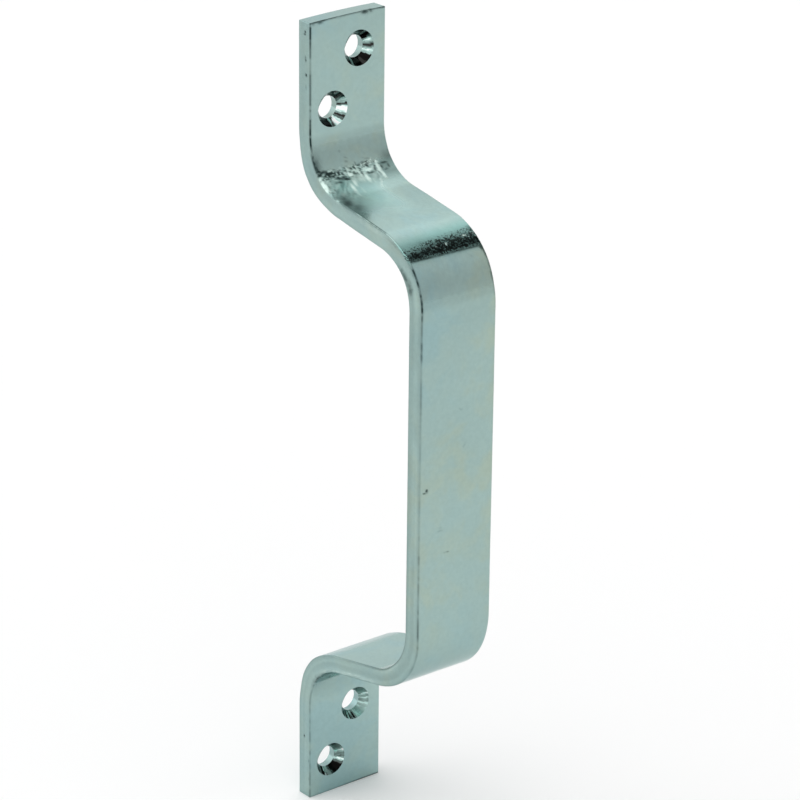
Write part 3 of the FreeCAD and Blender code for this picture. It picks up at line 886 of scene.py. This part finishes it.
# Dark patches at the edges of the bends are painted dark reflections.
EDGE_DARK_REFLECTIONS = [
    ((40.0, -12.6), (3.4, 0.55), 0, 1.0), ((41.6, -12.3), (1.6, 0.9), 0, 0.9),
    ((90.0, 12.4), (6.5, 0.45), 0, 0.7), ((85.3, 11.9), (0.9, 0.9), 0, 0.8),
    ((86.5, 12.2), (2.0, 0.6), 0, 0.7), ((80.4, 11.8), (1.4, 1.1), 0, 0.5),
]
# Pale specks in the grain's black band: painted glints, where the band's painted reflection is left out.
PAINTED_GLINT_SPECKS = [
    ((82.5, 1.6), (0.28, 0.45), 10, 1.0), ((81.4, 8.5), (0.25, 0.65), 8, 1.0),
    ((82.6, -1.8), (0.25, 0.4), 0, 0.5), ((81.3, 11.6), (0.4, 0.5), 0, 0.6),
    ((82.3, 11.9), (0.25, 0.4), 0, 0.6), ((82.0, 9.9), (0.22, 0.35), 0, 0.45),
]
dark_reflection = marks(blank[:, 0], blank[:, 1], DARK_REFLECTIONS, 0.25, soft=True) * front_side
side_stain = marks(blank[:, 0], blank[:, 2], SIDE_STAINS, 0.25, soft=True) * left_side
streaks = 0.55 + 0.45 * smooth(noise(blank[:, 0] / (0.8 * MM), blank[:, 2] / (1.4 * MM), 73), -0.4, 0.4)
edge_dark_reflection = marks(blank[:, 0], blank[:, 1], EDGE_DARK_REFLECTIONS, 0.2) * front_side
painted_glint = marks(blank[:, 0], blank[:, 1], PAINTED_GLINT_SPECKS, 0.1) * front_side
# The darkness joins painted shade and dark reflections with real nicks and scuffs.
dark_marks_and_shade = np.maximum.reduce([edge_shade, end_shade, face_nick, side_nick, torn_pits_and_shade, edge_dark_reflection])
dark_marks_and_shade = np.maximum(dark_marks_and_shade, np.maximum(dark_reflection, side_stain * streaks) * 0.88)
dark_marks_and_shade = dark_marks_and_shade * (1 - painted_glint)
side_highlight = marks(blank[:, 0], blank[:, 2], SIDE_HIGHLIGHTS, 0.3, soft=True) * left_side
painted_highlight = np.maximum.reduce([painted_highlight, painted_glint, side_highlight * streaks])
print("dark share", round(float((dark_marks_and_shade > 0.3).mean()), 3))

# %% Film of the bath, with painted light and shade
# Places along are in mm. The film multiplies the colour. Besides the bath's own thickness it carries painted
# light and shade: lighter and darker stretches of the bends, painted shade along the edges and in the bores,
# a painted highlight on the side, a painted pool of light and a dim patch on the leg, and lighter dull
# parts.
# The tint leans it to blue above 0 and to yellow below 0.
FILM_AND_LIGHT = [
    (0, 1.0), (24, 1.0), (30, 0.98), (38, 1.0), (44, 0.98), (50, 1.03), (56, 1.05), (64, 1.06), (70, 1.12),
    (74, 1.16), (79, 1.04), (86, 1.05), (95, 0.98), (99, 0.925), (110, 0.95), (200, 0.98), (240, 1.05),
    (285, 1.05),
]
TINT = [
    (0, 0.0), (45, -0.1), (75, 0.1), (100, -0.2), (114, -0.2), (130, 0.05), (150, -0.3), (166, -0.6),
    (178, -0.7), (192, -0.35), (210, -0.25), (245, 0.15), (285, 0.4),
]
film_and_painted_light = read_list(blank[:, 0] / MM, FILM_AND_LIGHT)
# Painted shade along the edges.
film_and_painted_light = film_and_painted_light * (1 - 0.115 * smooth(np.abs(blank[:, 1]), 12.0 * MM, 12.45 * MM))
film_and_painted_light = film_and_painted_light * (1 + 0.02 * noise(blank[:, 1] / (7 * MM), blank[:, 0] / (11 * MM), 75))
along_side = noise(blank[:, 2] / (0.75 * MM), blank[:, 0] / (30 * MM), 77)
along_side = along_side + 0.6 * noise(blank[:, 2] / (1.5 * MM), blank[:, 0] / (5 * MM), 78)
film_and_painted_light = film_and_painted_light * (1 + 0.07 * along_side * to_side) * (1 - 0.035 * left_side)
# A painted highlight along the side.
side_light = np.exp(-(((blank[:, 2] / MM - 3.2) / 1.0) ** 2)) * left_side
side_light = side_light * np.interp(blank[:, 0] / MM, [84, 92, 140, 165, 200], [0, 1, 0.9, 0.4, 0])
film_and_painted_light = film_and_painted_light * (1 + 0.17 * side_light * (1 + 0.5 * along_side))
# A painted pool of light and a painted dim patch on the leg, and the dull parts painted lighter.
painted_light_spot = np.exp(-(((along / MM - 54.3) / 3.8) ** 2) - ((across / MM + 1.2) / 4.5) ** 2)
painted_dim_spot = np.exp(-(((along / MM - 62.8) / 3.0) ** 2) - ((across / MM + 2.0) / 5.0) ** 2)
blue_spot = np.exp(-(((along / MM - 49) / 2.8) ** 2) - ((across / MM + 7.0) / 3.6) ** 2)
film_and_painted_light = film_and_painted_light * (1 + 0.30 * dull + 0.10 * dull_left + (0.22 * painted_light_spot - 0.13 * painted_dim_spot) * front_side)
# Painted shade in the bores.
hole_gaps = [np.hypot(blank[:, 0] - a, blank[:, 1] - x) for a, x in zip(hole_along, hole_across)]
painted_bore_shade = 1 - smooth(np.min(hole_gaps, axis=0), BACK_RADIUS, BACK_RADIUS + 0.2 * MM)
film_and_painted_light = film_and_painted_light * (1 - 0.16 * painted_bore_shade)
lean_left = np.interp(blank[:, 0] / MM, [70, 92, 120, 180], [0, 1.3, 0.8, 0.2]) * -blank[:, 1] / (WIDTH / 2)
tint = read_list(blank[:, 0] / MM, TINT)
slow = noise(blank[:, 1] / (21 * MM) + 5, blank[:, 0] / (34 * MM), 76)
tint = (tint + 0.60 * lean_left * front_side + 0.55 * slow) * (1 - 0.5 * left_side)
teal = smooth(tilted, 76 * MM, 80 * MM) * (1 - smooth(along, 84 * MM, 86 * MM))
teal = np.maximum(0.9 * teal, 0.22 * dull + 0.6 * blue_spot) * front_side
print("film_and_painted_light", round(float(film_and_painted_light.min()), 2), round(float(film_and_painted_light.max()), 2))


# %% Attributes
def store(mesh, name, kind, domain, values):
    """Write one value for each point or face into a named attribute."""
    layer = mesh.attributes.new(name, kind, domain)
    target = "vector" if kind == "FLOAT_VECTOR" else "value"
    layer.data.foreach_set(target, np.asarray(values, np.float32).ravel())


store(handle.data, "flat_place", "FLOAT_VECTOR", "POINT", blank[:, [1, 2, 0]] / MM)
store(handle.data, "in_sink", "FLOAT", "FACE", in_sink)
store(handle.data, "sink_reflection_tone", "FLOAT", "POINT", sink_reflection_tone)
store(handle.data, "dark_marks_and_shade", "FLOAT", "POINT", np.clip(dark_marks_and_shade, 0, 1))
store(handle.data, "painted_highlight", "FLOAT", "POINT", painted_highlight)
store(handle.data, "grain_zone", "FLOAT", "POINT", grain_zone)
store(handle.data, "painted_band_reflection", "FLOAT", "POINT", painted_band_reflection * (1 - painted_glint))
store(handle.data, "dull", "FLOAT", "POINT", dull)
store(handle.data, "film_and_painted_light", "FLOAT", "POINT", film_and_painted_light)
store(handle.data, "teal", "FLOAT", "POINT", teal)
store(handle.data, "tint", "FLOAT", "POINT", np.clip(tint, -1, 1))
print("attributes", [a.name for a in handle.data.attributes if not a.name.startswith(".")])

# %% [markdown]
# ## Blue-white zinc
# Bright zinc is a metal finish: nearly all that is seen in it is the room. Its own colour is a grey with
# green and blue in it, and the chromate film on top is of uneven thickness, so that it drifts between a
# bluer and a yellower grey over a centimetre or two. The finish is a metallic shader whose colour mixes a
# grey, a blue, a yellow and a teal one by the stored tint and a slow noise. The roughness drifts with that
# noise, and the bump is a very fine grain. Where highlights are painted the finish is lighter, less
# metallic and duller, a fine noise peppers the grain's band with black as a painted reflection of the
# tent's gap, painted shade goes over in a dark colour, and the torn flats of the countersinks are rough.

# %% Helpers for nodes
class Tree:
    """A node tree that is filled by short calls: each call makes one node and returns its output."""

    def __init__(self, tree):
        self.tree = tree

    def node(self, kind, **settings):
        made = self.tree.nodes.new(kind)
        for key, value in settings.items():
            setattr(made, key, value)
        return made

    def feed(self, socket, value):
        if isinstance(value, bpy.types.NodeSocket):
            self.tree.links.new(value, socket)
        else:
            socket.default_value = value

    def math(self, operation, a, b=0.0, clamp=False):
        made = self.node("ShaderNodeMath", operation=operation, use_clamp=clamp)
        self.feed(made.inputs[0], a)
        self.feed(made.inputs[1], b)
        return made.outputs[0]

    def times(self, vector, factor):
        made = self.node("ShaderNodeVectorMath", operation="SCALE")
        self.feed(made.inputs[0], vector[:3] if isinstance(vector, tuple) else vector)
        self.feed(made.inputs["Scale"], factor)
        return made.outputs[0]

    def curve(self, value, stops, span, peak):
        """Straight lines through the stops; places are divided by the span and heights by the peak."""
        made = self.node("ShaderNodeFloatCurve")
        line = made.mapping.curves[0]
        line.points[0].location = (stops[0][0] / span, stops[0][1] / peak)
        line.points[1].location = (stops[-1][0] / span, stops[-1][1] / peak)
        for stop, height in stops[1:-1]:
            line.points.new(stop / span, height / peak)
        for point in line.points:
            point.handle_type = "VECTOR"
        made.mapping.update()
        self.feed(made.inputs["Value"], value)
        return self.math("MULTIPLY", made.outputs[0], peak)

    def noise(self, vector, scale, detail=2.0, roughness=0.5, distortion=0.0):
        made = self.node("ShaderNodeTexNoise")
        for key, value in (("Vector", vector), ("Scale", scale), ("Detail", detail)):
            self.feed(made.inputs[key], value)
        for key, value in (("Roughness", roughness), ("Distortion", distortion)):
            self.feed(made.inputs[key], value)
        return made.outputs["Fac"]

    def ease(self, value, low_edge, high_edge, low_out=0.0, high_out=1.0):
        made = self.node("ShaderNodeMapRange", interpolation_type="SMOOTHSTEP")
        for place, entry in enumerate((value, low_edge, high_edge, low_out, high_out)):
            self.feed(made.inputs[place], entry)
        return made.outputs[0]

    def mix(self, share, a, b):
        made = self.node("ShaderNodeMix", data_type="RGBA")
        self.feed(made.inputs["Factor"], share)
        self.feed(made.inputs[6], a)
        self.feed(made.inputs[7], b)
        return made.outputs[2]

    def attribute(self, name, output="Fac"):
        return self.node("ShaderNodeAttribute", attribute_name=name).outputs[output]


# %% The zinc
ZINC_GREY = (0.346, 0.484, 0.460, 1)
ZINC_BLUE = (0.318, 0.474, 0.476, 1)
ZINC_YELLOW = (0.380, 0.484, 0.412, 1)
ZINC_TEAL = (0.262, 0.474, 0.444, 1)
PAINTED_HIGHLIGHT_GREY = (0.80, 1.00, 0.93, 1)
CUT_BRIGHT_REFLECTION = (0.68, 0.98, 0.92, 1)
CUT_WHITE_REFLECTION = (1.05, 1.08, 1.08, 1)
CUT_DARK_REFLECTION = (0.80, 0.78, 0.74, 1)
DARK_MARK_AND_SHADE = (0.013, 0.029, 0.028, 1)
PAINTED_BAND_BLACK = (0.014, 0.012, 0.010, 1)
GLANCING_TINT = (0.80, 0.85, 0.85, 1)


def zinc():
    """Metallic shader on flat coordinates in millimetres. The colour leans blue or yellow by the tint plus
    a cloud, then teal, is multiplied by the film with its painted light and shade and by a mottle, and goes
    towards a bright grey where highlights are painted. A flat of a countersink takes its painted reflection
    tone times a dark, bright or white cut colour instead. Black pepper goes over the grain's band as its
    painted reflection, and the dark colour goes over everything by the stored darkness of painted shade
    and real marks."""
    material = bpy.data.materials.new("zinc_plate")
    material.use_nodes = True
    tree = Tree(material.node_tree)
    shader = material.node_tree.nodes["Principled BSDF"]
    place = tree.attribute("flat_place", "Vector")
    dark_marks_and_shade = tree.attribute("dark_marks_and_shade")
    highlight_share = tree.attribute("painted_highlight")
    reflection_tone = tree.attribute("sink_reflection_tone")
    cloud = tree.noise(place, 0.11, 3.0, 0.55, 0.4)
    lean = tree.math("ADD", tree.attribute("tint"), tree.ease(cloud, 0.3, 0.7, -0.5, 0.5))
    colour = tree.mix(tree.ease(lean, 0.0, 1.1), ZINC_GREY, ZINC_BLUE)
    colour = tree.mix(tree.ease(lean, 0.0, -1.1), colour, ZINC_YELLOW)
    colour = tree.mix(tree.attribute("teal"), colour, ZINC_TEAL)
    mottle = tree.noise(place, 0.9, 3.0, 0.6)
    shade = tree.math("MULTIPLY", tree.attribute("film_and_painted_light"), tree.ease(mottle, 0.25, 0.75, 0.965, 1.035))
    # Towards a bright grey where highlights are painted.
    colour = tree.mix(highlight_share, tree.times(colour, shade), PAINTED_HIGHLIGHT_GREY)
    is_sink = tree.attribute("in_sink")
    painted_cut_reflection = tree.mix(tree.ease(reflection_tone, 0.02, 0.16), CUT_DARK_REFLECTION, CUT_BRIGHT_REFLECTION)
    painted_cut_reflection = tree.mix(tree.ease(reflection_tone, 0.80, 1.00), painted_cut_reflection, CUT_WHITE_REFLECTION)
    # Each countersink flat takes its painted reflection instead of the zinc.
    colour = tree.mix(is_sink, colour, tree.times(painted_cut_reflection, reflection_tone))
    # Black pepper over the grain's band: a painted reflection of the tent's gap.
    peppered = tree.noise(place, 2.5, 2.0, 0.6)
    painted_band_reflection = tree.attribute("painted_band_reflection")
    band_speck = tree.math("ADD", peppered, tree.math("MULTIPLY", painted_band_reflection, 0.175))
    band_speck = tree.math("MULTIPLY", tree.ease(band_speck, 0.58, 0.71), tree.ease(painted_band_reflection, 0.02, 0.25))
    colour = tree.mix(tree.math("MULTIPLY", band_speck, 0.90), colour, PAINTED_BAND_BLACK)
    # The dark colour goes over painted shade and real marks alike.
    tree.feed(shader.inputs["Base Color"], tree.mix(dark_marks_and_shade, colour, DARK_MARK_AND_SHADE))
    tree.feed(shader.inputs["Metallic"], tree.math("SUBTRACT", 1.0, tree.math("MULTIPLY", highlight_share, 0.8)))
    shader.inputs["Specular Tint"].default_value = GLANCING_TINT
    rough = tree.ease(cloud, 0.3, 0.7, 0.13, 0.18)
    rough = tree.math("ADD", rough, tree.math("MULTIPLY", dark_marks_and_shade, 0.20))
    matt = tree.math("MAXIMUM", tree.math("MULTIPLY", highlight_share, 0.5), tree.attribute("dull"))
    rough = tree.math("ADD", rough, tree.math("MULTIPLY", matt, 0.32))
    torn_flat = tree.math("MULTIPLY", tree.ease(reflection_tone, 0.15, 0.25), tree.ease(reflection_tone, 0.50, 0.80, 1.0, 0.0))
    sink_rough = tree.math("SUBTRACT", tree.math("MULTIPLY", torn_flat, 0.28), 0.06)
    rough = tree.math("ADD", rough, tree.math("MULTIPLY", is_sink, sink_rough))
    bump = tree.node("ShaderNodeBump")
    tree.feed(bump.inputs["Height"], tree.noise(place, 3.2, 3.0, 0.6))
    grain = tree.attribute("grain_zone")
    rough = tree.math("ADD", rough, tree.math("MULTIPLY", grain, 0.05))
    grainy = tree.math("MULTIPLY", grain, 0.45)
    tree.feed(bump.inputs["Strength"], tree.math("ADD", grainy, 0.10))
    tree.feed(shader.inputs["Roughness"], rough)
    bump.inputs["Distance"].default_value = 0.05 * MM
    tree.feed(shader.inputs["Normal"], bump.outputs["Normal"])
    print("zinc nodes", len(material.node_tree.nodes))
    return material


handle.data.materials.append(zinc())
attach(handle, "root")
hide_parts("pull_handle")

# %% [markdown]
# ## The tent
# Shiny metal is photographed in a white tent, so that it has something plain to mirror. What gives the
# bends their form is the one place where the tent is open: a dark gap overhead, parallel to the bar's
# width, just in front of the roof light. Each bend turns through it once, and shows it as a black band.
# The tent is the world's own light, worked out from the direction: an angle that starts at the front
# horizon, climbs over the top and comes down at the back, with one brightness for each stretch. The gap
# is only as wide as the handle needs. The left wall of the tent is brighter, and so is the far right wall,
# so that what stands behind the handle stays white from the side as well.

# %% Light by direction
TENT = [
    (0, 0.88), (3, 0.83), (7, 0.81), (14, 0.77), (20, 0.755), (27, 0.76), (34, 0.78), (40, 0.80), (47, 0.84),
    (56, 0.85), (62, 0.85), (95, 1.05), (105, 1.20), (113, 1.28), (126, 1.33), (134, 1.20), (140, 1.08),
    (153, 1.12), (166, 1.13), (180, 1.13),
]
GAP = [
    (0, 0), (61.5, 0), (66.0, 0.95), (75, 0.97), (80, 0.94), (84, 0.84), (88, 0.60), (92, 0.32), (97, 0.08),
    (101, 0), (180, 0),
]
GAP_SIDES = (0.20, 0.42, 0.80, 0.95)
LEFT_WALL = (-0.50, 0.25, 0.5)
RIGHT_WALL = (0.86, 0.96, 0.4)


def tent_light(direction):
    """Tent times one minus gap, times left wall, times right wall. The angle is atan2(up, forward). The gap
    eases in and out with the sideways part of the direction, and so do both walls."""
    x, y, z = direction.T
    angle = np.degrees(np.arctan2(z, -y))
    inside = smooth(x, GAP_SIDES[0], GAP_SIDES[1]) * (1 - smooth(x, GAP_SIDES[2], GAP_SIDES[3]))
    left_wall = 1 + LEFT_WALL[2] * (1 - smooth(x, LEFT_WALL[0], LEFT_WALL[1]))
    right_wall = 1 + RIGHT_WALL[2] * smooth(x, RIGHT_WALL[0], RIGHT_WALL[1])
    return read_list(angle, TENT) * (1 - read_list(angle, GAP) * inside) * left_wall * right_wall


def level_light():
    """Light on a level white card: the mean brightness of the upper half, each direction weighted by how
    steeply it comes down. Points are spread evenly over the disc under the half sphere."""
    count = 20000
    radius = np.sqrt((np.arange(count) + 0.5) / count)
    turn = np.arange(count) * np.pi * (3 - math.sqrt(5))
    direction = np.stack([radius * np.cos(turn), radius * np.sin(turn), np.sqrt(1 - radius**2)], axis=1)
    return tent_light(direction).mean()


CARD_LIGHT = 1.05
tent_scale = CARD_LIGHT / level_light()
print("light on a level white card", round(float(level_light()), 3), "scale", round(float(tent_scale), 3))

# %% World
world = bpy.data.worlds.new("tent")
bpy.context.scene.world = world
world.use_nodes = True
sky = Tree(world.node_tree)
background = world.node_tree.nodes["Background"]
parts = sky.node("ShaderNodeSeparateXYZ")
sky.feed(parts.inputs[0], sky.node("ShaderNodeTexCoord").outputs["Generated"])
sideways = parts.outputs["X"]
angle = sky.math("ARCTAN2", parts.outputs["Z"], sky.math("MULTIPLY", parts.outputs["Y"], -1.0))
tent_value = sky.curve(sky.math("DIVIDE", angle, math.pi), TENT, 180, 2.0)
gap_value = sky.curve(sky.math("DIVIDE", angle, math.pi), GAP, 180, 1.0)
inside = sky.ease(sideways, GAP_SIDES[0], GAP_SIDES[1])
inside = sky.math("MULTIPLY", inside, sky.ease(sideways, GAP_SIDES[2], GAP_SIDES[3], 1.0, 0.0))
open_part = sky.math("SUBTRACT", 1.0, sky.math("MULTIPLY", gap_value, inside))
left_wall = sky.ease(sideways, LEFT_WALL[0], LEFT_WALL[1], 1.0 + LEFT_WALL[2], 1.0)
right_wall = sky.ease(sideways, RIGHT_WALL[0], RIGHT_WALL[1], 1.0, 1.0 + RIGHT_WALL[2])
light = sky.math("MULTIPLY", sky.math("MULTIPLY", tent_value, open_part), left_wall)
light = sky.math("MULTIPLY", light, right_wall)
sky.feed(background.inputs["Strength"], sky.math("MULTIPLY", light, float(tent_scale)))
background.inputs["Color"].default_value = (1, 1, 1, 1)
print("world nodes", len(world.node_tree.nodes))

# %% [markdown]
# ## Floor
# White paper lies under the handle and keeps its shadow. In front, well out of the picture, the paper is
# painted greyer: a painted shade for paper that curves up there, which the polished face mirrors as a soft
# fade. Towards the two walls it stays white.

# %% Floor
FLOOR_SIZE = 160.0
PAPER_WHITE = 0.96
PAPER_PAINTED_SHADE = 0.80
FADE_FROM = -0.35
FADE_TO = -1.10
floor_mesh = bpy.data.meshes.new("floor")
half = FLOOR_SIZE / 2
corners = [(-half, -half, low.z), (half, -half, low.z), (half, half, low.z), (-half, half, low.z)]
floor_mesh.from_pydata(corners, [], [(0, 1, 2, 3)])
floor = bpy.data.objects.new("floor", floor_mesh)
bpy.context.scene.collection.objects.link(floor)
paper = bpy.data.materials.new("white_paper")
paper.use_nodes = True
sheet = Tree(paper.node_tree)
paper_shader = paper.node_tree.nodes["Principled BSDF"]
paper_place = sheet.node("ShaderNodeSeparateXYZ")
paper_point = sheet.node("ShaderNodeTexCoord").outputs["Object"]
sheet.feed(paper_place.inputs[0], paper_point)
white_share = sheet.ease(paper_place.outputs["Y"], FADE_TO, FADE_FROM)
heading = sheet.node("ShaderNodeVectorMath", operation="NORMALIZE")
sheet.feed(heading.inputs[0], paper_point)
heading_parts = sheet.node("ShaderNodeSeparateXYZ")
sheet.feed(heading_parts.inputs[0], heading.outputs[0])
paper_left = sheet.ease(heading_parts.outputs["X"], LEFT_WALL[0], LEFT_WALL[1], 1.0, 0.0)
paper_right = sheet.ease(heading_parts.outputs["X"], RIGHT_WALL[0], RIGHT_WALL[1])
white_share = sheet.math("MAXIMUM", white_share, sheet.math("MAXIMUM", paper_left, paper_right))
# The grey in front is painted shade.
greys = [(PAPER_PAINTED_SHADE, PAPER_PAINTED_SHADE, PAPER_PAINTED_SHADE, 1), (PAPER_WHITE, PAPER_WHITE, PAPER_WHITE, 1)]
sheet.feed(paper_shader.inputs["Base Color"], sheet.mix(white_share, greys[0], greys[1]))
paper_shader.inputs["Roughness"].default_value = 1.0
paper_shader.inputs["Specular IOR Level"].default_value = 0.0
floor_mesh.materials.append(paper)
print("floor at", round(low.z, 4))

# %% [markdown]
# ## Camera
# A long lens a good arm's length away, left of the handle and above it. The three directions of the
# camera are worked out from its angles, and the object's middle is set off from the picture's middle.

# %% Camera
AZIMUTH = math.radians(-39.174)
ELEVATION = math.radians(21.133)
ROLL = math.radians(0.638)
DISTANCE = 0.8997
PICTURE_WIDTH = 800
FOCAL_PIXELS = 3281.4
AIM_RIGHT = 17.814 * MM
AIM_UP = 3.122 * MM
SENSOR = 36.0

ahead = Vector((math.sin(AZIMUTH), -math.cos(AZIMUTH), 0))
toward = math.cos(ELEVATION) * ahead + math.sin(ELEVATION) * Vector((0, 0, 1))
level_right = Vector((math.cos(AZIMUTH), math.sin(AZIMUTH), 0))
level_up = toward.cross(level_right)
right = math.cos(ROLL) * level_right + math.sin(ROLL) * level_up
up = math.cos(ROLL) * level_up - math.sin(ROLL) * level_right
lens = bpy.data.cameras.new("camera")
lens.sensor_width = SENSOR
lens.lens = FOCAL_PIXELS * SENSOR / PICTURE_WIDTH
lens.clip_end = 100
camera = bpy.data.objects.new("camera", lens)
bpy.context.scene.collection.objects.link(camera)
turned = Matrix((right, up, toward)).transposed().to_4x4()
turned.translation = AIM_RIGHT * right + AIM_UP * up + DISTANCE * toward
camera.matrix_world = turned
bpy.context.scene.camera = camera
bpy.context.scene.view_settings.view_transform = "Standard"
print("lens mm", round(lens.lens, 2))
